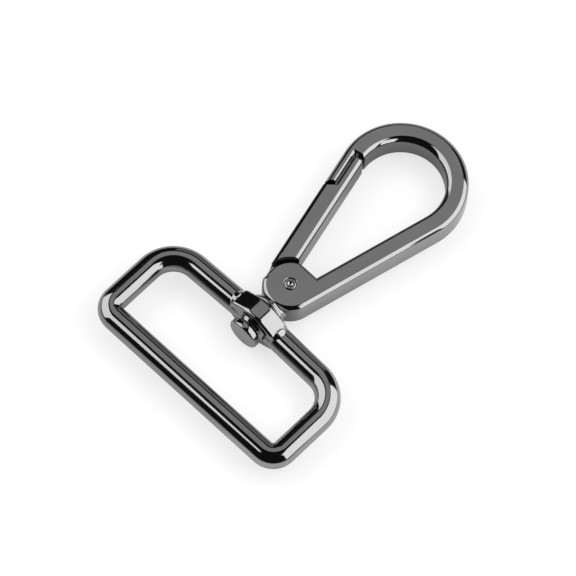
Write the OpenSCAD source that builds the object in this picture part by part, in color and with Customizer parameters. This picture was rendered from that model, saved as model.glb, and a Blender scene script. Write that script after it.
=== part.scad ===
// Swivel snap hook for a flat strap. The loop's strap bar lies along X and the
// hook points along +Y. Every length is in millimetres. Each piece is modelled
// from the middle of the strap bar, and placed() then moves it so that the
// origin is under the middle of the whole hook, at the height it rests on.

/* [Loop] */
// Clear width between the side bars, which is the strap's width
strap_w = 38; // [30:1:50]
// Clear height from the strap bar to the bar that carries the swivel
loop_clear = 13; // [11:0.5:20]
// Diameter of the round bar
bar_d = 4.74; // [4:0.1:5.6]
// Inner corner radius beside the strap bar
strap_corner_r = 0.26; // [0.2:0.1:2]
// Inner corner radius beside the swivel bar
swivel_corner_r = 3.8; // [2:0.2:5]
// How much the swivel bar rises from its corners to its middle
bar_rise = 0.44; // [0.2:0.1:1]

/* [Boss] */
// Length of the boss along the swivel axis
boss_len = 4.0; // [3.6:0.1:6]
// Height of the boss across its top and bottom flats
boss_h = 9.4; // [8.6:0.1:11]
// Width of the top and bottom flats
boss_flat_w = 3.0; // [2:0.2:4]
// Width and height of the crease under the large facets
boss_crease_w = 8.96; // [8:0.1:9.6]
boss_crease_h = 4.6; // [4.2:0.1:5.2]
// Width and height at which the small facets run into the bar
boss_flare_w = 10.9; // [10.2:0.1:12]
boss_flare_h = 2.4; // [1.8:0.1:3]
// Bevel round both ends of the boss
boss_bevel = 0.35; // [0.1:0.05:0.6]
// Radius and thickness of the round pad that the rivet head turns on
pad_r = 3.0; // [2.6:0.1:3.6]
pad_t = 0.95; // [0.3:0.05:1.2]
// Radius that the bar swells to where it runs into the boss, and the length of the swell
swell_r = 2.7; // [2.5:0.05:3]
swell_len = 1.3; // [0.8:0.1:2]

/* [Swivel rivet] */
// Radius and thickness of the rivet head
head_r = 3.17; // [2.8:0.05:3.5]
head_t = 1.3; // [1:0.05:2.2]
// Rounding of the head's outer edge
head_round = 0.45; // [0.2:0.05:0.8]
// Radius of the shank
shank_r = 2.0; // [1.6:0.1:2.3]
// How deep the shank is pressed into the hook
shank_seat = 2.2; // [1.6:0.1:2.4]
// Radial clearance of the shank in the boss
shank_clear = 0.06; // [0.02:0.01:0.1]
// End play at each side of the boss
swivel_play = 0.15; // [0.1:0.05:0.3]

/* [Hook] */
// Thickness of the hook and the gate
hook_t = 6.0; // [5.4:0.1:7]
// Width of the hook's bar
limb_w = 3.85; // [3.4:0.05:4.4]
// Bevel along every edge of the bar
edge_bevel = 0.59; // [0.3:0.05:0.8]
// Outer radius of the bow
bow_r = 12.13; // [11:0.1:14]
// Extra width of the bow at its crown
crown_extra = 0.3; // [0.1:0.05:0.6]
// Distance from the gate pin to the centre of the bow
pin_to_bow = 29.7; // [26:0.5:36]
// Outer radius of the fork, round the gate pin
fork_r = 5.14; // [5:0.05:5.6]
// Radius of the fork's ears on the gate side
ear_r = 4.8; // [4.7:0.05:4.95]
// Bevel along the ears and the crotch
ear_bevel = 0.3; // [0.1:0.05:0.4]
// Height of the crotch above the gate pin
crotch_h = 4.45; // [4.2:0.05:4.6]
// Distance from the collar to the gate pin
neck_len = 5.2; // [5:0.1:6]
// Radius and thickness of the collar that bears on the boss
collar_r = 3.7; // [3.4:0.05:4]
collar_t = 0.8; // [0.6:0.1:1.2]

/* [Nose and lap] */
// Width of the nose, the outer half of the bar beside the gate's tip
nose_w = 2.04; // [1.8:0.02:2.2]
// Length of the nose from the end of the bow
nose_len = 7.6; // [6:0.2:10]
// Slant of the nose's end and of the gate's shoulder under it
nose_slant = 30; // [10:1:40]
// Bevel along the nose's inner edge
nose_bevel = 0.25; // [0.1:0.05:0.4]
// Gap between the nose and the gate's tip
lap_gap = 0.42; // [0.3:0.02:0.6]
// Gap between the nose's end and the gate's shoulder
nose_gap = 0.45; // [0.3:0.05:0.8]
// Gap between the gate's tip and the end of the bow
tip_gap = 0.8; // [0.5:0.05:1.2]

/* [Gate] */
// Width of the gate's bar
gate_w = 3.95; // [3.4:0.05:4]
// Bevel along the outer edge of the gate's tip
lap_bevel = 0.45; // [0.2:0.05:0.55]
// Cut across the corners of the gate's tip
tip_cut = 0.45; // [0.2:0.05:0.6]
// Radius of the gate's shoulder round the pin
shoulder_r = 5.7; // [5.4:0.1:6.4]
// Thickness of the tang in the fork
tang_t = 2.8; // [2.6:0.1:3.2]
// Clearance at each face of the tang
tang_clear = 0.1; // [0.05:0.01:0.2]
// Radius of the tang's root round the pin
root_r = 2.9; // [2.7:0.05:3]
// Clearance round the root
root_clear = 0.15; // [0.1:0.05:0.3]

/* [Gate pin] */
// Radius of the pin
pin_r = 1.1; // [0.9:0.05:1.2]
// Radial clearance of the pin in the gate
pin_clear = 0.05; // [0.02:0.01:0.1]
// Radius and depth of the dimple that is punched in each end
dimple_r = 0.55; // [0.3:0.05:0.7]
dimple_depth = 0.3; // [0.1:0.05:0.5]

/* [Gate spring] */
// Diameter of the spring wire
wire_d = 0.4; // [0.3:0.02:0.44]
// Number of turns round the pin
coil_turns = 2; // [1:1:2]
// Clearance between the coil and the pin
coil_clear = 0.12; // [0.06:0.02:0.2]
// Length of the leg that bears on the fork
fixed_leg = 3.0; // [2.8:0.05:3.2]
// Length of the leg that pushes the gate shut
gate_leg = 3.4; // [2.6:0.1:4]
// Clearance of the wire in its grooves
groove_clear = 0.1; // [0.06:0.02:0.16]

/* [Hidden] */
$fn = 64;
// Overshoot of a cut past the face that it opens
over = 1;
// Seat clearance of a pressed pin
press = 0.01;
bar_r = bar_d / 2;
// A straight stretch runs this far into the bend that it meets, this much inside its surface
lap = 0.2;
inset = 0.01;

// Centreline of the loop
side_x = strap_w / 2 + bar_r;
strap_bend = strap_corner_r + bar_r;
swivel_bend = swivel_corner_r + bar_r;
swivel_bar_y = loop_clear + 2 * bar_r;
rise_deg = atan(bar_rise / (side_x - swivel_bend));
swivel_bend_y = swivel_bar_y - swivel_bend / cos(rise_deg);
boss_y = swivel_bar_y + bar_rise;
bar_end_x = boss_crease_w / 2 - boss_bevel;
boss_front = boss_y - boss_len / 2;
boss_back = boss_y + boss_len / 2;

// Places along the swivel axis
head_back = boss_front - pad_t - swivel_play;
collar_front = boss_back + swivel_play;
pin_y = collar_front + collar_t + neck_len;
bow_y = pin_y + pin_to_bow;

// Hook outline, with n across a limb from the pin and s along it
limb_deg = asin((bow_r - fork_r) / pin_to_bow);
limb_len = pin_to_bow * cos(limb_deg);
limb_in = fork_r - limb_w;
eye_r = bow_r - limb_w - crown_extra * sin(limb_deg);
nose_in = fork_r - nose_w;
nose_s = limb_len - nose_len;

// Gate outline in the same terms
gate_in = fork_r - gate_w;
tip_out = nose_in - lap_gap;
bow_end_s = limb_len + tip_gap / 2;
tip_s = bow_end_s - tip_gap;
shoulder_s = nose_s - nose_gap / cos(nose_slant);
slot_half = tang_t / 2 + tang_clear;
// Where the ears' smaller round ends, counted from +X
ear_end_deg = 205;

// Spring coil in the pocket of the gate's root
coil_r = pin_r + coil_clear + wire_d / 2;
coil_pitch = wire_d * 1.12;
coil_deg = 210;
pocket_r = coil_r + wire_d / 2 + groove_clear;
fixed_leg_z = tang_t / 2 - wire_d / 2 - groove_clear;
gate_leg_z = fixed_leg_z - coil_turns * coil_pitch;
pocket_floor = gate_leg_z - wire_d / 2 - groove_clear;
groove_w = wire_d + 2 * groove_clear;
wire_steps = 20;
leg_steps = 3;

// Where the whole hook's middle lies, and how high its centre plane is
mid_y = (bow_y + bow_r - bar_r) / 2;
mid_z = boss_h / 2;
shell = "#55565a";
steel = "#6a6b6e";

// Moves a piece from the strap bar's middle to the hook's own frame
module placed() translate([0, -mid_y, mid_z]) children();

// Local frames: x is n, y is s
module at_pin() translate([0, pin_y, 0]) children();
module spine_side() rotate([0, 0, -limb_deg]) children();
module gate_side() mirror([1, 0, 0]) spine_side() children();

// Turns a solid's Z into +Y
module along_y() rotate([-90, 0, 0]) children();

// Section of a bevelled bar from n0 to n1
function bar_section(n0, n1, c0, c1) = [
    [n0, c0 - hook_t / 2], [n0 + c0, -hook_t / 2], [n1 - c1, -hook_t / 2], [n1, c1 - hook_t / 2],
    [n1, hook_t / 2 - c1], [n1 - c1, hook_t / 2], [n0 + c0, hook_t / 2], [n0, hook_t / 2 - c0]
];

// Section of a cut from n0 to n1 whose mouths flare past n0 on the side away from n1
function flared_section(n0, n1, c) = let (flare = n0 + sign(n0 - n1) * (c + over)) [
    [n0, c - hook_t / 2], [flare, -hook_t / 2 - over], [n1, -hook_t / 2 - over],
    [n1, hook_t / 2 + over], [flare, hook_t / 2 + over], [n0, hook_t / 2 - c]
];

// A section drawn in n and z, run along s
module run(s0, s1) translate([0, s1, 0]) rotate([90, 0, 0]) linear_extrude(s1 - s0) children();

// A plan drawn in n and s, cut through the whole thickness
module through() linear_extrude(hook_t + 2 * over, center = true) children();

// Loop

module round_bar(from, to) {
    run_len = norm(to - from);
    run_deg = atan2(to.y - from.y, to.x - from.x);
    translate([from.x, from.y, 0]) rotate([0, 0, run_deg - 90]) translate([0, -lap, 0]) along_y()
        cylinder(r = bar_r - inset, h = run_len + 2 * lap);
}

module round_bend(centre, bend, start, turn) {
    translate([centre.x, centre.y, 0]) rotate([0, 0, start]) rotate_extrude(angle = turn)
        translate([bend, 0]) circle(r = bar_r);
}

module half_loop() {
    strap_c = [side_x - strap_bend, strap_bend];
    swivel_c = [side_x - swivel_bend, swivel_bend_y];
    bend_end = swivel_c + swivel_bend * [sin(rise_deg), cos(rise_deg)];
    round_bar([0, 0], [strap_c.x, 0]);
    round_bend(strap_c, strap_bend, -90, 90);
    round_bar([side_x, strap_bend], [side_x, swivel_bend_y]);
    round_bend(swivel_c, swivel_bend, 0, 90 - rise_deg);
    round_bar(bend_end, [bar_end_x, boss_y - bar_end_x * tan(rise_deg)]);
    translate([0, boss_y, 0]) rotate([0, 0, -90 - rise_deg]) along_y() swell();
}

// The bar's swell beside the boss, along the bar from the loop's middle
module swell() {
    crest = boss_crease_w / 2;
    slope = (swell_r - bar_r) / swell_len;
    rotate_extrude() polygon([
        [0, crest - 3 * lap], [bar_r - lap, crest - 3 * lap], [swell_r, crest],
        [bar_r - lap, crest + swell_len + lap / slope], [0, crest + swell_len + lap / slope]
    ]);
}

// One pair of boss faces, top and bottom, through two points of its outline
module boss_faces(p, q) {
    face_deg = atan2(q.y - p.y, q.x - p.x);
    reach = abs(p.x * sin(face_deg) - p.y * cos(face_deg));
    long = boss_flare_w + boss_h;
    half = boss_len / 2;
    translate([0, boss_y, 0]) rotate([0, -face_deg, 0]) rotate([90, 0, 90])
        linear_extrude(2 * long, center = true)
            polygon([
                [-half, boss_bevel - reach], [boss_bevel - half, -reach],
                [half - boss_bevel, -reach], [half, boss_bevel - reach],
                [half, reach - boss_bevel], [half - boss_bevel, reach],
                [boss_bevel - half, reach], [-half, reach - boss_bevel]
            ]);
}

module boss() {
    top = [boss_flat_w, boss_h] / 2;
    crease = [boss_crease_w, boss_crease_h] / 2;
    flare = [boss_flare_w, boss_flare_h] / 2;
    intersection() {
        boss_faces([-top.x, top.y], top);
        boss_faces(top, crease);
        boss_faces(crease, flare);
        mirror([1, 0, 0]) boss_faces(top, crease);
        mirror([1, 0, 0]) boss_faces(crease, flare);
    }
}

module loop() {
    color(shell) placed() difference() {
        union() {
            half_loop();
            mirror([1, 0, 0]) half_loop();
            boss();
            translate([0, boss_front - pad_t, 0]) along_y() cylinder(r = pad_r, h = pad_t + boss_len / 2);
        }
        translate([0, boss_front - pad_t - over, 0]) along_y()
            cylinder(r = shank_r + shank_clear, h = boss_len + pad_t + 2 * over);
    }
}

// Swivel rivet

module swivel_rivet() {
    shank_end = collar_front + shank_seat - (head_back - head_t);
    color(shell) placed() translate([0, head_back - head_t, 0]) along_y() union() {
        rotate_extrude() {
            square([head_r - head_round, head_t]);
            translate([0, head_round]) square([head_r, head_t - head_round]);
            translate([head_r - head_round, head_round]) circle(r = head_round);
        }
        cylinder(r = shank_r, h = shank_end);
    }
}

// Hook body

module bow() {
    inner = bow_r - limb_w - crown_extra - over;
    translate([0, bow_y, 0]) difference() {
        rotate([0, 0, -limb_deg]) rotate_extrude(angle = 180 + 2 * limb_deg)
            polygon(bar_section(inner, bow_r, 0, edge_bevel));
        translate([0, -crown_extra, 0]) rotate_extrude() polygon(flared_section(eye_r, 0, edge_bevel));
    }
}

// The bow with its nose, less the notch that the gate's tip lies in
module bow_and_nose() {
    slope = tan(nose_slant);
    far = nose_in - over;
    difference() {
        union() {
            bow();
            at_pin() gate_side() run(nose_s, limb_len + lap)
                polygon(bar_section(far, fork_r - inset, 0, edge_bevel));
        }
        at_pin() gate_side() run(nose_s - over, bow_end_s) polygon(flared_section(nose_in, -over, nose_bevel));
        at_pin() gate_side() through() polygon([
            [fork_r + over, nose_s - over * slope], [far, nose_s + (fork_r - far) * slope],
            [far, nose_s - over], [fork_r + over, nose_s - 2 * over]
        ]);
    }
}

// A sector of the fork, from its axis out to r
module fork_sector(r, bevel, start, end) {
    rotate([0, 0, start]) rotate_extrude(angle = end - start) polygon(bar_section(0, r, 0, bevel));
}

// The ears' round on the gate side, cut off level at the crotch
module ears() {
    difference() {
        fork_sector(ear_r, ear_bevel, 50, ear_end_deg + 2);
        rotate([90, 0, 90]) linear_extrude(4 * fork_r, center = true)
            polygon(flared_section(crotch_h, 2 * fork_r, ear_bevel));
    }
}

// Fills between the ears and the spine, up to the crotch
module crotch() {
    fill = limb_in + edge_bevel + lap;
    inside = fork_r / 4;
    intersection() {
        spine_side() linear_extrude(hook_t, center = true) polygon([
            [-inside, -inside], [fill, -inside], [fill, 2 * fork_r], [-inside, 2 * fork_r]
        ]);
        rotate([90, 0, 90]) linear_extrude(4 * fork_r, center = true)
            polygon(bar_section(-fork_r, crotch_h, 0, ear_bevel));
    }
}

// Collar and the taper that joins it to the fork
module neck() {
    taper_end = pin_y - fork_r / 2;
    taper_len = taper_end - collar_front;
    taper_r = fork_r * 0.9;
    rim = 0.15;
    intersection() {
        translate([0, collar_front, 0]) along_y() cylinder(r1 = collar_r - over / 3, r2 = taper_r, h = taper_len);
        cube([4 * fork_r, 4 * pin_y, hook_t - 2 * edge_bevel], center = true);
    }
    translate([0, collar_front, 0]) along_y() rotate_extrude() polygon([
        [0, 0], [collar_r - rim, 0], [collar_r, rim],
        [collar_r, collar_t - rim], [collar_r - rim, collar_t], [0, collar_t]
    ]);
}

// Slot for the tang: round at the root, open past the gate and up to the spine
module fork_slot() {
    far = fork_r + over;
    n_dir = [-cos(limb_deg), -sin(limb_deg)];
    s_dir = [-sin(limb_deg), cos(limb_deg)];
    wall = limb_in * [cos(limb_deg), -sin(limb_deg)];
    linear_extrude(2 * slot_half, center = true) {
        circle(r = root_r + root_clear);
        polygon([
            wall, wall + far * [sin(limb_deg), cos(limb_deg)], far * (n_dir + s_dir),
            far * n_dir - root_clear * s_dir, -root_clear * s_dir
        ]);
    }
}

module hook_body() {
    color(shell) placed() difference() {
        union() {
            bow_and_nose();
            at_pin() spine_side() run(-lap, limb_len + lap)
                polygon(bar_section(limb_in + inset, fork_r - inset, edge_bevel, edge_bevel));
            at_pin() fork_sector(fork_r, edge_bevel, ear_end_deg, 360 - limb_deg);
            at_pin() ears();
            at_pin() crotch();
            neck();
        }
        at_pin() fork_slot();
        at_pin() cylinder(r = pin_r + press, h = hook_t + 2 * over, center = true);
        translate([0, collar_front - over, 0]) along_y() cylinder(r = shank_r + press, h = shank_seat + over);
        at_pin() wire_groove(-1, root_r + root_clear, fixed_leg + groove_clear, fixed_leg_z);
    }
}

// Gate

// Groove that one leg of the spring lies in, open at the tang's face
module wire_groove(side, start, end, z) {
    rotate([0, 0, coil_deg]) translate([coil_r, 0, 0]) mirror([0, side > 0 ? 1 : 0, 0])
        translate([-groove_w / 2, 0, z - groove_w / 2])
            translate([0, side > 0 ? 0 : start / 2, 0])
                cube([groove_w, side > 0 ? end : end - start / 2, tang_t / 2 - z + groove_w / 2]);
}

module tang() {
    linear_extrude(tang_t, center = true) {
        circle(r = root_r);
        polygon([
            [0, 0], [ear_r, 0], [fork_r, ear_r / 3], [fork_r, shoulder_r], [gate_in, shoulder_r], [gate_in, 0]
        ]);
    }
}

module gate_arm() {
    slope = tan(nose_slant);
    far_n = fork_r + over;
    near_n = tip_out - lap_bevel - 2 * over;
    difference() {
        run(ear_r / 3, tip_s) polygon(bar_section(gate_in, fork_r, edge_bevel, edge_bevel));
        for (face = [-1, 1])
            translate([0, 0, face * (tang_t / 2 + hook_t / 2)]) cylinder(r = shoulder_r, h = hook_t, center = true);
        intersection() {
            run(shoulder_r, tip_s + over) polygon(flared_section(tip_out, far_n, lap_bevel));
            through() polygon([
                [far_n, shoulder_s - over * slope], [near_n, shoulder_s + (fork_r - near_n) * slope],
                [near_n, tip_s + 2 * over], [far_n, tip_s + 2 * over]
            ]);
        }
        through() polygon([
            [tip_out - tip_cut, tip_s + 0.01], [tip_out + over, tip_s + 0.01],
            [tip_out + over, tip_s - tip_cut - over]
        ]);
        through() polygon([
            [gate_in - 0.01, tip_s - tip_cut], [gate_in - 0.01, tip_s + over], [gate_in + tip_cut + over, tip_s + over]
        ]);
    }
}

module gate() {
    notch_start = 226;
    notch_turn = 84;
    color(shell) placed() at_pin() difference() {
        gate_side() union() {
            tang();
            gate_arm();
        }
        cylinder(r = pin_r + pin_clear, h = tang_t + 2 * over, center = true);
        translate([0, 0, pocket_floor]) cylinder(r = pocket_r, h = tang_t);
        wire_groove(1, 0, gate_leg + groove_clear, gate_leg_z);
        translate([0, 0, fixed_leg_z - groove_w / 2]) rotate([0, 0, notch_start])
            rotate_extrude(angle = notch_turn) square([root_r + over, tang_t]);
    }
}

// Gate pin

module gate_pin() {
    color(steel) placed() at_pin() difference() {
        cylinder(r = pin_r, h = hook_t, center = true);
        for (face = [0, 1])
            mirror([0, 0, face]) translate([0, 0, hook_t / 2 - dimple_depth])
                cylinder(r1 = 0.1, r2 = dimple_r, h = dimple_depth + 0.001);
    }
}

// Gate spring

function coil_point(a, z) = [coil_r * cos(a), coil_r * sin(a), z];
function coil_tangent(a) = [sin(a), -cos(a), 0];

// Centreline of the wire: the fixed leg, the turns, then the gate's leg
function wire_path() = concat(
    [for (i = [0 : leg_steps - 1])
        coil_point(coil_deg, fixed_leg_z) - fixed_leg * (1 - i / leg_steps) * coil_tangent(coil_deg)],
    [for (i = [0 : coil_turns * wire_steps])
        coil_point(coil_deg - 360 * i / wire_steps, fixed_leg_z - coil_pitch * i / wire_steps)],
    [for (i = [1 : leg_steps])
        coil_point(coil_deg, gate_leg_z) + gate_leg * i / leg_steps * coil_tangent(coil_deg)]
);

// A round wire swept along points that stay close to level
module wire(path, r, sides = 8) {
    last = len(path) - 1;
    rings = [for (i = [0 : last])
        let (d = path[min(i + 1, last)] - path[max(i - 1, 0)], t = d / norm(d), across = cross(t, [0, 0, 1]),
             a = across / norm(across), b = cross(a, t))
        for (k = [0 : sides - 1]) path[i] + r * (cos(360 * k / sides) * a + sin(360 * k / sides) * b)];
    walls = [for (i = [0 : last - 1], k = [0 : sides - 1])
        [i * sides + k, i * sides + (k + 1) % sides, (i + 1) * sides + (k + 1) % sides, (i + 1) * sides + k]];
    ends = [[for (k = [sides - 1 : -1 : 0]) k], [for (k = [0 : sides - 1]) last * sides + k]];
    polyhedron(points = rings, faces = concat(walls, ends), convexity = 4);
}

module gate_spring() {
    color(steel) placed() at_pin() wire(wire_path(), wire_d / 2);
}

loop();
swivel_rivet();
hook_body();
gate();
gate_pin();
gate_spring();
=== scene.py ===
# Swivel snap hook in dark polished plate, lying on a white table. The frame's
# origin is under the middle of the hook: +X runs along the strap bar, +Y from
# the strap bar to the tip. The hook's sizes are in millimetres until `mm`
# scales them, and the studio's are in metres.
from math import asin, cos, pi, radians, sin, sqrt, tan

import bpy
from mathutils import Matrix, Vector


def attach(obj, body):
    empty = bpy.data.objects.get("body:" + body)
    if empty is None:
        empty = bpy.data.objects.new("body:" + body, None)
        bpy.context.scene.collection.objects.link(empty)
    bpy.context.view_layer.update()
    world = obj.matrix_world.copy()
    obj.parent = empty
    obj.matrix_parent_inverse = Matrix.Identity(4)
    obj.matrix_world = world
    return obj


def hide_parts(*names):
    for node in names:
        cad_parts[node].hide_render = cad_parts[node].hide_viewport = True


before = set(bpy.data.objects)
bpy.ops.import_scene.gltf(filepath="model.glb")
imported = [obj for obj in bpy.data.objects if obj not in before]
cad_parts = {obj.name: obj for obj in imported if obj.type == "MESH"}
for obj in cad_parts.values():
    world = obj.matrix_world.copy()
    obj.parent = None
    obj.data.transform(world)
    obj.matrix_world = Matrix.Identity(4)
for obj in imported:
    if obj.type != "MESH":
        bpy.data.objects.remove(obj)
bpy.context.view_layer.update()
scene = bpy.context.scene
mm = 0.001

# Camera: a long lens almost a metre off, looking down at the hook from the
# strap bar's side, with the tip of the hook towards the top right.
camera_data = bpy.data.cameras.new("camera")
camera_data.sensor_width = 36
camera_data.lens = 342.28
camera_data.clip_end = 10
camera = bpy.data.objects.new("camera", camera_data)
camera.matrix_world = Matrix((
    (0.717856, -0.640296, 0.273320, 0.271979),
    (0.695657, 0.644335, -0.317636, -0.323226),
    (0.027272, 0.418154, 0.907967, 0.910297),
    (0, 0, 0, 1),
))
scene.collection.objects.link(camera)
scene.camera = camera
scene.view_settings.view_transform = "Standard"


# Studio: a white table that fades into a white surround, a softbox and a card
# on the right, a softbox on the left, and dim panels overhead and behind. The
# rest of the room is dark, which gives polished plate its black lines.
class Shade:
    """One value in a material. Arithmetic on it adds Math nodes."""

    def __init__(self, tree, socket=None):
        self.tree = tree
        self.socket = socket

    def node(self, kind, settings=None, values=None, out=0):
        made = self.tree.nodes.new(kind)
        for name, setting in (settings or {}).items():
            setattr(made, name, setting)
        for name, value in (values or {}).items():
            if isinstance(value, Shade):
                self.tree.links.new(value.socket, made.inputs[name])
            else:
                made.inputs[name].default_value = value
        return Shade(self.tree, made.outputs[out] if made.outputs else None)

    def maths(self, operation, *terms):
        return self.node("ShaderNodeMath", {"operation": operation}, dict(enumerate(terms)))

    def __add__(self, other):
        return self.maths("ADD", self, other)

    def __sub__(self, other):
        return self.maths("SUBTRACT", self, other)

    def __rsub__(self, other):
        return self.maths("SUBTRACT", other, self)

    def __mul__(self, other):
        return self.maths("MULTIPLY", self, other)

    __radd__ = __add__
    __rmul__ = __mul__


def new_finish(name):
    """An empty material and the Shade that adds nodes to it."""
    finish = bpy.data.materials.new(name)
    finish.use_nodes = True
    finish.node_tree.nodes.clear()
    return finish, Shade(finish.node_tree)


def softbox(name, azimuth, height, distance, width, depth, level, roll=0):
    """A panel lamp that faces the hook and shows in it at the given level."""
    towards = Vector((
        cos(radians(azimuth)) * cos(radians(height)),
        sin(radians(azimuth)) * cos(radians(height)),
        sin(radians(height)),
    ))
    lamp = bpy.data.lights.new(name, "AREA")
    lamp.shape = "RECTANGLE"
    lamp.size = width
    lamp.size_y = depth
    lamp.energy = level * pi * width * depth
    panel = bpy.data.objects.new(name, lamp)
    aim = towards.to_track_quat("Z", "Y").to_matrix() @ Matrix.Rotation(radians(roll), 3, "Z")
    panel.matrix_world = Matrix.Translation(towards * distance) @ aim.to_4x4()
    panel.visible_camera = False
    scene.collection.objects.link(panel)
    return panel


softbox("softbox_right", 40.5, 32, 0.317, 0.38, 0.425, 2.4)
softbox("softbox_left", -152, 34, 0.6, 0.7, 0.68, 2.1, 7)
softbox("panel_overhead", 126, 62, 0.6, 0.33, 0.4, 0.55)
softbox("wall_behind", 117, 19, 0.6, 0.35, 0.22, 0.33)
table_lamp = softbox("table_lamp", 40, 70, 0.5, 0.35, 0.35, 1.2)
table_lamp.visible_glossy = False

# The card stands close by and lights the plate along the spine's outer edge.
bpy.ops.object.select_all(action="DESELECT")
bpy.ops.mesh.primitive_plane_add(
    size=0.046, location=(0.098, -0.0063, 0.0418), rotation=(0, radians(61), radians(-6)))
card = bpy.context.object
card.name = "card_right"
card.scale = (1.48, 1.15, 1)
card.visible_camera = False
card.visible_diffuse = False
lit_card, shade = new_finish("card")
glow = shade.node("ShaderNodeEmission", None, {"Color": (1, 1, 1, 1), "Strength": 2.4})
shade.node("ShaderNodeOutputMaterial", None, {"Surface": glow})
card.data.materials.append(lit_card)

bpy.ops.object.select_all(action="DESELECT")
bpy.ops.mesh.primitive_circle_add(vertices=96, radius=0.25, fill_type="NGON")
table = bpy.context.object
table.name = "table"
white, shade = new_finish("white_table")
place = shade.node("ShaderNodeTexCoord", out="Object")
across = shade.node("ShaderNodeVectorMath", {"operation": "LENGTH"}, {0: place}, "Value")
shiny = shade.node("ShaderNodeLightPath", out="Is Glossy Ray")
reach_camera = shade.node("ShaderNodeMapRange", {"interpolation_type": "SMOOTHSTEP"}, {
    "Value": across, "From Min": 0.11, "From Max": 0.2, "To Min": 0.0, "To Max": 1.0})
split = shade.node("ShaderNodeSeparateXYZ", None, {0: place})
x, y = (Shade(split.tree, split.socket.node.outputs[axis]) for axis in "XY")


def beyond(middle, half_x, half_y):
    """How far a point of the table lies outside a box."""
    gap_x = x.maths("MAXIMUM", x.maths("ABSOLUTE", x - middle[0]) - half_x, 0.0)
    gap_y = x.maths("MAXIMUM", x.maths("ABSOLUTE", y - middle[1]) - half_y, 0.0)
    return x.maths("SQRT", gap_x * gap_x + gap_y * gap_y)


# In the plate's reflections the table shows a painted pool of light, brightest
# close to the hook and fading away from it, with painted light along the hook's
# right side and painted shade inside the bow.
near_loop = beyond((0.0, -0.024), 0.0225, 0.010)
near_hook = beyond((0.0, 0.008), 0.001, 0.017) - 0.010
near = x.maths("MINIMUM", near_loop, near_hook)
# Painted pool of light: away from the hook the table fades out of the reflections.
painted_light_pool = shade.node("ShaderNodeMapRange", {"interpolation_type": "SMOOTHSTEP"}, {
    "Value": near, "From Min": 0.012, "From Max": 0.11, "To Min": 0.25, "To Max": 0.85})
cloth = shade.node("ShaderNodeBsdfDiffuse", None, {"Color": (0.22, 0.22, 0.22, 1)})
# Painted contact shadow: ambient occlusion darkens the table's glow round the hook, fully in
# reflections and by a quarter for the camera.
painted_contact_shadow = shade.node(
    "ShaderNodeAmbientOcclusion", {"samples": 12}, {"Distance": 0.006}, "AO")
painted_right_light = shade.node("ShaderNodeMapRange", {"interpolation_type": "SMOOTHSTEP"}, {
    "Value": x, "From Min": 0.004, "From Max": 0.012, "To Min": 0.0, "To Max": 0.4})
off_loop = shade.node("ShaderNodeMapRange", {"interpolation_type": "SMOOTHSTEP"}, {
    "Value": near_loop, "From Min": 0.001, "From Max": 0.005, "To Min": 0.0, "To Max": 1.0})
painted_bow_shade = shade.node("ShaderNodeMapRange", {"interpolation_type": "SMOOTHSTEP"}, {
    "Value": beyond((0.0, 0.0229), 0.0, 0.0),
    "From Min": 0.0075, "From Max": 0.0105, "To Min": 0.35, "To Max": 0.0})
# Painted light on the hook's right and painted shade inside the bow, seen only in reflections.
painted_light_and_shade = 1 + shiny * (painted_right_light * off_loop * (1 - 2.5 * painted_bow_shade) - painted_bow_shade)
painted_table_glow = (1 - (1 - painted_contact_shadow) * (0.25 + 0.75 * shiny)) * painted_light_and_shade
glow = shade.node("ShaderNodeEmission", None, {"Color": painted_table_glow, "Strength": 0.84})
lit = shade.node("ShaderNodeAddShader", None, {0: cloth, 1: glow})
gone = shade.node("ShaderNodeBsdfTransparent")
fade = shiny * painted_light_pool + (1 - shiny) * reach_camera
both = shade.node("ShaderNodeMixShader", None, {0: fade, 1: lit, 2: gone})
shade.node("ShaderNodeOutputMaterial", None, {"Surface": both})
table.data.materials.append(white)

scene.world = bpy.data.worlds.new("surround")
scene.world.use_nodes = True
scene.world.node_tree.nodes.clear()
shade = Shade(scene.world.node_tree)
seen = shade.node("ShaderNodeLightPath", out="Is Camera Ray")
dark_room = 0.015
surround = shade.node("ShaderNodeBackground", None, {
    "Color": (1, 1, 1, 1), "Strength": seen * (1 - dark_room) + dark_room})
shade.node("ShaderNodeOutputWorld", None, {"Surface": surround})


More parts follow.
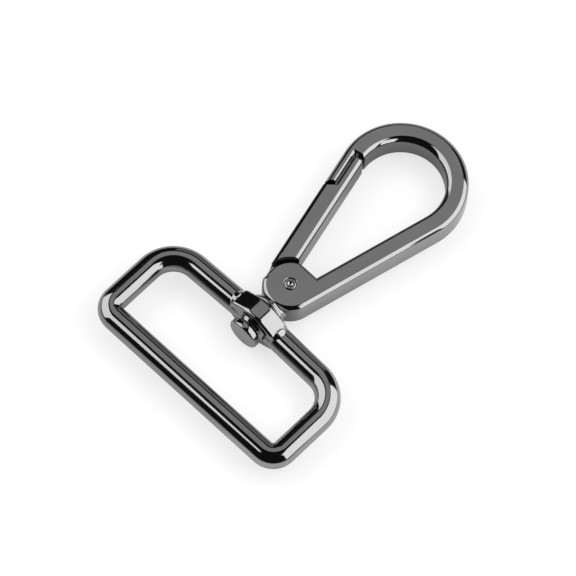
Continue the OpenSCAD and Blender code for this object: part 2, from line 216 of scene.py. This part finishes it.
# Loop: round bar bent into a rectangle, die cast in one with the faceted boss
# that the swivel turns in. Zinc, polished and plated in black nickel.
def polished_plate(name, base, wave):
    """Black nickel over polished zinc: soft waves, faint wipes, uneven plate."""
    finish, shade = new_finish(name)
    place = shade.node("ShaderNodeTexCoord", out="Object")
    drift = shade.node("ShaderNodeTexNoise", None, {
        "Vector": place, "Scale": 90.0, "Detail": 2.0})
    grain = shade.node("ShaderNodeTexNoise", None, {
        "Vector": place, "Scale": 1400.0, "Detail": 4.0})
    turned = shade.node("ShaderNodeMapping", None, {
        "Vector": place, "Rotation": (0.3, 0.2, 0.7), "Scale": (160.0, 2600.0, 2600.0)})
    wipes = shade.node("ShaderNodeTexNoise", None, {"Vector": turned, "Scale": 1.0, "Detail": 3.0})
    scratch = shade.node("ShaderNodeMapRange", None, {
        "Value": wipes, "From Min": 0.66, "From Max": 0.78, "To Min": 0.0, "To Max": 1.0})
    level = shade.node("ShaderNodeMapRange", None, {
        "Value": drift, "From Min": 0.3, "From Max": 0.7, "To Min": 0.0, "To Max": 1.0})
    darker = tuple(0.93 * part for part in base)
    lighter = tuple(1.05 * part for part in base)
    # The Mix node's colour sockets share their names, so they go by number.
    tone = shade.node("ShaderNodeMix", {"data_type": "RGBA"}, {
        0: level, 6: (*darker, 1), 7: (*lighter, 1)}, out=2)
    gloss = 0.055 + 0.02 * level + 0.02 * grain + 0.05 * scratch
    ripple = shade.node("ShaderNodeBump", None, {
        "Strength": 1.0, "Distance": wave, "Height": drift + 0.02 * grain})
    plate = shade.node("ShaderNodeBsdfPrincipled", None, {
        "Base Color": tone, "Metallic": 1.0, "Roughness": gloss, "Normal": ripple})
    shade.node("ShaderNodeOutputMaterial", None, {"Surface": plate})
    return finish


bar_y, bar_z = -32.895, 4.7


def at(x, y, z=0):
    """A point given from the strap bar's middle, in the frame's metres."""
    return (x * mm, (y + bar_y) * mm, (z + bar_z) * mm)


def begin(name):
    """The mesh just added, named, its place in its mesh, open for editing."""
    piece = bpy.context.object
    piece.name = name
    bpy.ops.object.transform_apply(location=True, rotation=True, scale=True)
    bpy.ops.object.mode_set(mode="EDIT")
    bpy.ops.mesh.select_all(action="SELECT")
    return piece


def pull(x, y, z=0):
    """Extrudes what is selected by so many millimetres."""
    bpy.ops.mesh.extrude_region_move(TRANSFORM_OT_translate={"value": (x * mm, y * mm, z * mm)})


def swing(centre, degrees, steps):
    """Spins what is selected round an upright line, anticlockwise from above."""
    bpy.ops.mesh.spin(steps=steps, angle=radians(degrees), center=at(*centre), axis=(0, 0, -1))


def work(piece, kind, **settings):
    """Puts one modifier on a piece and applies it."""
    bpy.context.view_layer.objects.active = piece
    modifier = piece.modifiers.new(kind.lower(), kind)
    for name, setting in settings.items():
        setattr(modifier, name, setting)
    bpy.ops.object.modifier_apply(modifier=modifier.name)


def cut(piece, tool, operation="DIFFERENCE"):
    """Cuts one solid from another, or joins it on, and throws the tool away."""
    work(piece, "BOOLEAN", operation=operation, solver="EXACT", object=tool)
    bpy.data.objects.remove(tool)


def join(*pieces):
    """Makes several meshes one object, the first one."""
    bpy.ops.object.select_all(action="DESELECT")
    for piece in pieces:
        piece.select_set(True)
    bpy.context.view_layer.objects.active = pieces[0]
    bpy.ops.object.join()
    return pieces[0]


def rod(name, start, end, radius, end_radius=None, sides=64):
    """A round rod between two points of the frame, open for editing."""
    bpy.ops.object.select_all(action="DESELECT")
    start, end = Vector(at(*start)), Vector(at(*end))
    turn = (end - start).to_track_quat("Z", "Y").to_euler()
    bpy.ops.mesh.primitive_cone_add(
        vertices=sides, radius1=radius * mm, radius2=(end_radius or radius) * mm,
        depth=(end - start).length, location=(start + end) / 2, rotation=turn)
    return begin(name)


def ring_at(piece, axis, place):
    """Selects the points of a piece that lie on one level, in its own metres."""
    bpy.ops.mesh.select_all(action="DESELECT")
    bpy.ops.object.mode_set(mode="OBJECT")
    for point in piece.data.vertices:
        point.select = abs(point.co[axis] - place) < 0.01 * mm
    bpy.ops.object.mode_set(mode="EDIT")
    bpy.ops.mesh.select_mode(type="VERT")


def close():
    """Ends the editing of the piece in hand."""
    bpy.ops.object.mode_set(mode="OBJECT")


bar_r = 2.37
side_x = 21.37
strap_bend = 2.63
swivel_bend = 6.17
swivel_bend_y = 11.567
bar_end_x = 4.1
rise_deg = 1.658
rise = radians(rise_deg)
boss_y = 18.18
boss_front, boss_back = 16.18, 20.18
boss_rim = 0.55
pad_front, pad_back = boss_front - 0.95, boss_front + 0.2
pad_r, pad_foot_r = 2.6, 3.6
stub_x = 7.6
stub_r = bar_r - 0.012
swells = ((5.1, 6.15, 2.95, 2.3), (5.1, 4.5, 2.95, 2.4))
swell_flat = 0.8
bore_r = 2.06
grid = 0.1
bpy.ops.object.select_all(action="DESELECT")
bpy.ops.mesh.primitive_circle_add(
    vertices=64, radius=bar_r * mm, location=at(0, 0), rotation=(0, pi / 2, 0))
loop = begin("strap_loop")
pull(side_x - strap_bend, 0)
swing((side_x - strap_bend, strap_bend), 90, 28)
pull(0, swivel_bend_y - strap_bend)
swing((side_x - swivel_bend, swivel_bend_y), 90 - rise_deg, 32)
run = side_x - swivel_bend + swivel_bend * sin(rise) - bar_end_x
pull(-run, run * tan(rise))
bpy.ops.mesh.select_all(action="SELECT")
bpy.ops.mesh.normals_make_consistent(inside=False)
close()
work(loop, "MIRROR", use_axis=(True, False, False), use_mirror_merge=True, merge_threshold=1e-6)

bpy.ops.object.select_all(action="DESELECT")
bpy.ops.mesh.primitive_plane_add(size=mm)
boss = begin("boss")
bpy.ops.mesh.merge(type="CENTER")
bpy.ops.transform.translate(value=at(0.4, boss_front, 4.7))
crown = [
    (0.4, 4.7), (0.94, 4.66), (1.47, 4.56), (1.97, 4.39), (2.45, 4.15), (4.9, 2.75), (6.51, 0)]
right = crown + [(x, -z) for x, z in reversed(crown[:-1])]
corners = right + [(-x, z) for x, z in reversed(right)]
for here, there in zip(corners, corners[1:]):
    bpy.ops.mesh.extrude_vertices_move(TRANSFORM_OT_translate={
        "value": ((there[0] - here[0]) * mm, 0, (there[1] - here[1]) * mm)})
bpy.ops.mesh.select_all(action="SELECT")
bpy.ops.mesh.edge_face_add()
pull(0, boss_back - boss_front)
bpy.ops.mesh.select_all(action="SELECT")
bpy.ops.mesh.normals_make_consistent(inside=False)
close()
work(boss, "BEVEL", limit_method="ANGLE", angle_limit=radians(60), width=boss_rim * mm, segments=3)

# The pad, the bar's stubs and the swells round them melt into the boss.
lumps = [rod("pad", (0, pad_front), (0, pad_back), pad_r, pad_foot_r)]
close()
for hand in (-1, 1):
    stub_end = (hand * stub_x, boss_y - stub_x * tan(rise))
    lumps.append(rod("stub", (0, boss_y), stub_end, stub_r))
    close()
    for from_x, to_x, from_r, to_r in swells:
        lumps.append(rod("swell", (hand * from_x, boss_y - from_x * tan(rise)),
                         (hand * to_x, boss_y - to_x * tan(rise)), from_r, to_r))
        bpy.ops.transform.resize(value=(1, swell_flat, 1), center_override=at(0, boss_y))
        close()
join(boss, *lumps)
work(boss, "REMESH", mode="VOXEL", voxel_size=grid * mm, use_smooth_shade=True)
work(boss, "SMOOTH", factor=0.5, iterations=5)
bore = rod("bore", (0, boss_front - 2), (0, boss_back + 2), bore_r)
close()
cut(boss, bore)
join(loop, boss)
bpy.ops.object.select_all(action="DESELECT")
loop.select_set(True)
bpy.ops.object.shade_smooth()
plate = polished_plate("black_nickel", (0.29, 0.29, 0.295), 0.00002)
loop.data.materials.append(plate)
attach(loop, "loop")
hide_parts("loop")


# Swivel rivet: a turned rivet whose round head lies inside the loop. Its shank
# goes through the boss and is pressed into the hook.
def settle(piece, degrees=30):
    """Smooth shading up to an angle, with flat faces kept flat."""
    bpy.ops.object.select_all(action="DESELECT")
    piece.select_set(True)
    bpy.context.view_layer.objects.active = piece
    bpy.ops.object.shade_smooth_by_angle(angle=radians(degrees))
    work(piece, "WEIGHTED_NORMAL", mode="FACE_AREA", weight=80, keep_sharp=True)


head_r = 3.17
head_front, head_back = 13.78, 15.08
front_rim, back_rim = 0.45, 0.12
shank_r = 2.0
shank_end = 22.5
rivet = rod("swivel_rivet_head", (0, head_front), (0, head_back), head_r, sides=96)
ring_at(rivet, 1, at(0, head_front)[1])
bpy.ops.mesh.bevel(
    offset=front_rim * mm, segments=6, profile=0.5, affect="EDGES", clamp_overlap=False)
ring_at(rivet, 1, at(0, head_back)[1])
bpy.ops.mesh.bevel(
    offset=back_rim * mm, segments=3, profile=0.5, affect="EDGES", clamp_overlap=False)
close()
shank = rod("shank", (0, head_back - 0.2), (0, shank_end), shank_r)
close()
settle(join(rivet, shank))
rivet.data.materials.append(plate)
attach(rivet, "hook")
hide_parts("swivel_rivet")


# Hook body: one casting of bow, nose, spine, fork, neck and collar, 6 mm
# thick with a bevel along its edges. The fork is slotted for the gate.
pin_y = 26.33
fork_r = 5.14
ear_r = 4.8
bow_r = 12.13
pin_to_bow = 29.7
lean = asin((bow_r - fork_r) / pin_to_bow)
limb_len = pin_to_bow * cos(lean)
limb_in = 1.29
eye_drop = 0.3
eye_r = 8.209
nose_in = 3.5
nose_s = limb_len - 7.6
slope = tan(radians(30))
bow_end_s = 29.27
half_t = 3.0
rim, ear_rim, nose_end_rim = 0.8, 0.7, 0.25
bow_extra, eye_extra = 0.4, 0.38


def beside(hand, n, s):
    """The plan point n out from the pin and s along a limb, on one side."""
    return (hand * (n * cos(lean) + s * sin(lean)), pin_y - n * sin(lean) + s * cos(lean))


def outline(name, start, strokes, low, high):
    """A solid between two levels from an outline of straight and round strokes."""
    bpy.ops.object.select_all(action="DESELECT")
    bpy.ops.mesh.primitive_plane_add(size=mm)
    piece = begin(name)
    bpy.ops.mesh.merge(type="CENTER")
    bpy.ops.transform.translate(value=at(*start, low))
    here = Vector(start)
    for stroke in strokes:
        if len(stroke) == 2:
            there = Vector(stroke)
            bpy.ops.mesh.extrude_vertices_move(TRANSFORM_OT_translate={
                "value": ((there.x - here.x) * mm, (there.y - here.y) * mm, 0)})
            here = there
        else:
            centre, degrees, steps = stroke
            swing(centre, degrees, steps)
            here = Vector(centre) + Matrix.Rotation(radians(degrees), 2) @ (here - Vector(centre))
    bpy.ops.mesh.select_all(action="SELECT")
    bpy.ops.mesh.remove_doubles(threshold=0.002 * mm)
    bpy.ops.mesh.select_all(action="SELECT")
    bpy.ops.mesh.edge_face_add()
    pull(0, 0, high - low)
    bpy.ops.mesh.select_all(action="SELECT")
    bpy.ops.mesh.normals_make_consistent(inside=False)
    close()
    return piece


def edge_bevels(piece, widest, width_at):
    """Bevels the rims of a flat piece, as wide at each place as width_at says."""
    weights = piece.data.attributes.new("bevel_weight_edge", "FLOAT", "EDGE")
    for edge in piece.data.edges:
        a, b = (piece.data.vertices[v].co for v in edge.vertices)
        if abs(a.z - b.z) > 0.01 * mm:
            continue
        middle = (a + b) / 2
        width = width_at(middle.x / mm, middle.y / mm - bar_y)
        weights.data[edge.index].value = width / widest
    work(piece, "BEVEL", limit_method="WEIGHT", width=widest * mm, segments=8, profile=0.37,
         use_clamp_overlap=False)


def across_limb(hand, x, y):
    """How far out a plan point lies from a limb's line through the pin."""
    return hand * x * cos(lean) - (y - pin_y) * sin(lean)


def along_limb(hand, x, y):
    """How far along a limb's line a plan point lies."""
    return hand * x * sin(lean) + (y - pin_y) * cos(lean)


def round_of(centre, x, y):
    """How far a plan point lies from a centre."""
    return sqrt((x - centre[0]) ** 2 + (y - centre[1]) ** 2)


pin, bow, eye = (0, pin_y), (0, pin_y + pin_to_bow), (0, pin_y + pin_to_bow - eye_drop)
lean_deg = lean * 180 / pi
crotch_y = 4.45
crotch_s = (crotch_y + limb_in * sin(lean)) / cos(lean)
eye_s = (pin_to_bow - eye_drop) * cos(lean)
eye_turn = -180 - 2 * lean_deg
ear_x = sqrt(ear_r ** 2 - crotch_y ** 2)
ear_start = Vector((-ear_x, crotch_y)).angle(Vector((1, 0))) * 180 / pi
ear_end, fork_start = 199, 209
step = (fork_r * cos(radians(fork_start)), pin_y + fork_r * sin(radians(fork_start)))
body = outline("hook_casting", beside(1, fork_r, 0), [
    beside(1, fork_r, limb_len),
    (bow, 180 + 2 * lean_deg, 84),
    beside(-1, fork_r, nose_s),
    beside(-1, limb_in, nose_s + (fork_r - limb_in) * slope),
    beside(-1, limb_in, eye_s),
    (eye, eye_turn, 72),
    beside(1, limb_in, crotch_s),
    (-ear_x, pin_y + crotch_y),
    (pin, ear_end - ear_start, 48),
    step,
    (pin, 360 - lean_deg - fork_start, 48),
], -half_t, half_t)


def body_rim(x, y):
    """The width of the body's bevel, widest at the top of the bow."""
    left, right = across_limb(-1, x, y), across_limb(1, x, y)
    past_nose = along_limb(-1, x, y) - nose_s
    at_bow = y > bow[1] - 3
    if abs(left - (limb_in + fork_r) / 2) < 0.05 and 0 < past_nose < 2:
        return nose_end_rim
    if abs(left - limb_in) < 0.03 and past_nose > 0:
        return rim
    if abs(round_of(pin, x, y) - ear_r) < 0.03 or abs(y - pin_y - crotch_y) < 0.03:
        return ear_rim
    if ear_r < round_of(pin, x, y) < fork_r + 0.05 and y < pin_y + 1:
        return rim
    if min(abs(right - fork_r), abs(right - limb_in), abs(left - fork_r)) < 0.05:
        return rim
    if at_bow and abs(round_of(bow, x, y) - bow_r) < 0.05:
        return rim + bow_extra * max(0, (y - bow[1]) / bow_r)
    if at_bow and abs(round_of(eye, x, y) - eye_r) < 0.05:
        return rim + eye_extra * max(0, (y - eye[1]) / eye_r)
    return 0


edge_bevels(body, 1.3, body_rim)

# The recess beside the nose takes the gate's tip, with a small flare at each
# face. The slot, the pin's hole and its mouths are cut after it.
recess_r, flare_depth, flare_width = 0.5, 0.35, 0.45
recess_end = (beside(-1, nose_in - recess_r, bow_end_s - recess_r), -90, 10)
flare_in, flare_out = half_t - flare_depth, half_t + 0.1
for low, high, flare in (
        (-4, 4, 0), (-flare_in, -flare_out, flare_width), (flare_in, flare_out, flare_width)):
    recess = outline("recess", beside(-1, nose_in, nose_s - 4), [
        beside(-1, nose_in, bow_end_s - recess_r), recess_end,
        beside(-1, -2, bow_end_s), beside(-1, -2, nose_s - 4)], low, high)
    bpy.ops.object.mode_set(mode="EDIT")
    ring_at(recess, 2, at(0, 0, high)[2])
    out = Vector(beside(-1, flare, flare)) - Vector(pin)
    bpy.ops.transform.translate(value=(out.x * mm, out.y * mm, 0))
    bpy.ops.mesh.select_all(action="SELECT")
    bpy.ops.mesh.normals_make_consistent(inside=False)
    close()
    cut(body, recess)
slot_half, slot_root_r = 1.5, 3.05
slot = outline("slot", beside(1, limb_in, 0), [
    beside(1, limb_in, 9), (-9, pin_y + 9), (-9, pin_y - 2), (0, pin_y - 1)], -slot_half, slot_half)
root = rod("root", (0, pin_y, -slot_half), (0, pin_y, slot_half), slot_root_r)
close()
cut(slot, root, "UNION")
cut(body, slot)
pin_hole_r, mouth_floor_r, mouth_r = 1.16, 1.1, 1.4
mouth_floor, mouth_top = 2.8, 3.1
pin_bore = rod("pin_bore", (0, pin_y, -4), (0, pin_y, 4), pin_hole_r)
close()
cut(body, pin_bore)
for face in (-1, 1):
    mouth = rod("mouth", (0, pin_y, mouth_floor * face), (0, pin_y, mouth_top * face),
                mouth_floor_r, mouth_r)
    close()
    cut(body, mouth)

# The collar faces the boss, and the neck widens from it into the fork.
collar_front, collar_back, collar_r, collar_rim = 20.33, 21.13, 3.7, 0.36
neck_start, neck_end, neck_start_r, neck_end_r = 20.7, 23.9, 3.0, 3.2
collar = rod("collar", (0, collar_front), (0, collar_back), collar_r, sides=96)
bpy.ops.mesh.select_mode(type="EDGE")
bpy.ops.mesh.bevel(
    offset=collar_rim * mm, segments=5, profile=0.5, affect="EDGES", clamp_overlap=False)
close()
neck = rod("neck", (0, neck_start), (0, neck_end), neck_start_r, neck_end_r, sides=96)
ring_at(neck, 1, at(0, neck_end)[1])
bpy.ops.transform.resize(value=(1, 1, 0.75), center_override=at(0, neck_end))
close()
settle(join(body, collar, neck))
body.data.materials.append(plate)
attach(body, "hook")
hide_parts("hook_body")


# Gate: a casting with the bevelled bar, a flat tang in the fork and a stepped
# tip that closes beside the nose.
gate_in = 1.19
tip_out = 3.05
tip_s = 28.95
tip_in_r, tip_out_r = 0.9, 0.7
shoulder_rim, tip_rim = 0.4, 0.45
shoulder_s = 20.75
shoulder_r = 5.45
gate_start_s = 2
inner_corner = beside(-1, gate_in + tip_in_r, tip_s - tip_in_r)
outer_corner = beside(-1, tip_out - tip_out_r, tip_s - tip_out_r)
gate = outline("gate_casting", beside(-1, gate_in, gate_start_s), [
    beside(-1, gate_in, tip_s - tip_in_r),
    (inner_corner, 90, 12),
    beside(-1, tip_out - tip_out_r, tip_s),
    (outer_corner, 90, 12),
    beside(-1, tip_out, shoulder_s + (fork_r - tip_out) * slope),
    beside(-1, fork_r, shoulder_s),
    beside(-1, fork_r, gate_start_s),
], -half_t, half_t)


def gate_rim(x, y):
    """The width of the gate's bevel, which narrows across the tip."""
    out, along = across_limb(-1, x, y), along_limb(-1, x, y)
    if abs(along - gate_start_s) < 0.03:
        return 0
    if abs(out - gate_in) < 0.03 or abs(out - fork_r) < 0.03:
        return rim
    if along < shoulder_s + 2:
        return shoulder_rim
    if out > tip_out - 0.05:
        return tip_rim
    return rim - (rim - tip_rim) * (out - gate_in) / (tip_out - gate_in)


edge_bevels(gate, rim, gate_rim)

# The foot is hollowed to clear the ears, and the tang goes into the slot.
foot = rod("foot", (0, pin_y, -4), (0, pin_y, 4), shoulder_r, sides=128)
close()
cut(gate, foot)
tang_half = 1.4
tang_in, tang_out, tang_end = gate_in + 0.1, 5.1, 6.4
tang_root_r, pocket_r, eyelet_r = 2.9, 1.72, 1.15
tang = outline("tang", (0, pin_y), [
    beside(-1, 4.8, 0), beside(-1, tang_out, 1.6), beside(-1, tang_out, tang_end),
    beside(-1, tang_in, tang_end), beside(-1, tang_in, 0)], -tang_half, tang_half)
root = rod("root", (0, pin_y, -tang_half), (0, pin_y, tang_half), tang_root_r, sides=96)
close()
cut(tang, root, "UNION")
pocket = rod("pocket", (0, pin_y, -0.1), (0, pin_y, 2), pocket_r)
close()
cut(tang, pocket)
eyelet = rod("eyelet", (0, pin_y, -2), (0, pin_y, 1), eyelet_r)
close()
cut(tang, eyelet)
settle(join(gate, tang))
gate.data.materials.append(plate)
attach(gate, "gate")
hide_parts("gate")


# Gate pin: a short steel pin pressed through both ears, its ends punched so
# that they spread, and plated with the rest.
pin_r, pin_half, pin_rim = 1.1, 3, 0.18
pin_piece = rod("gate_pin_punched", (0, pin_y, -pin_half), (0, pin_y, pin_half), pin_r)
for face in (-1, 1):
    ring_at(pin_piece, 2, at(0, 0, pin_half * face)[2])
    bpy.ops.mesh.bevel(
        offset=pin_rim * mm, segments=4, profile=0.5, affect="EDGES", clamp_overlap=False)
    ring_at(pin_piece, 2, at(0, 0, pin_half * face)[2])
    bpy.ops.mesh.select_mode(type="FACE")
    bpy.ops.mesh.inset(thickness=0.2 * mm, depth=0)
    bpy.ops.mesh.inset(thickness=0.14 * mm, depth=-0.3 * mm)
    bpy.ops.mesh.inset(thickness=0.3 * mm, depth=-0.16 * mm)
close()
settle(pin_piece, 40)
pin_plate = polished_plate("pin_plate", (0.36, 0.36, 0.365), 0.00001)
pin_piece.data.materials.append(pin_plate)
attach(pin_piece, "hook")
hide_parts("gate_pin")


# Gate spring: two turns of bare spring wire round the pin, in a pocket of the
# gate's root.
wire = polished_plate("spring_wire", (0.5, 0.5, 0.51), 0.00001)
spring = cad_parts["gate_spring"]
spring.data.materials.clear()
spring.data.materials.append(wire)
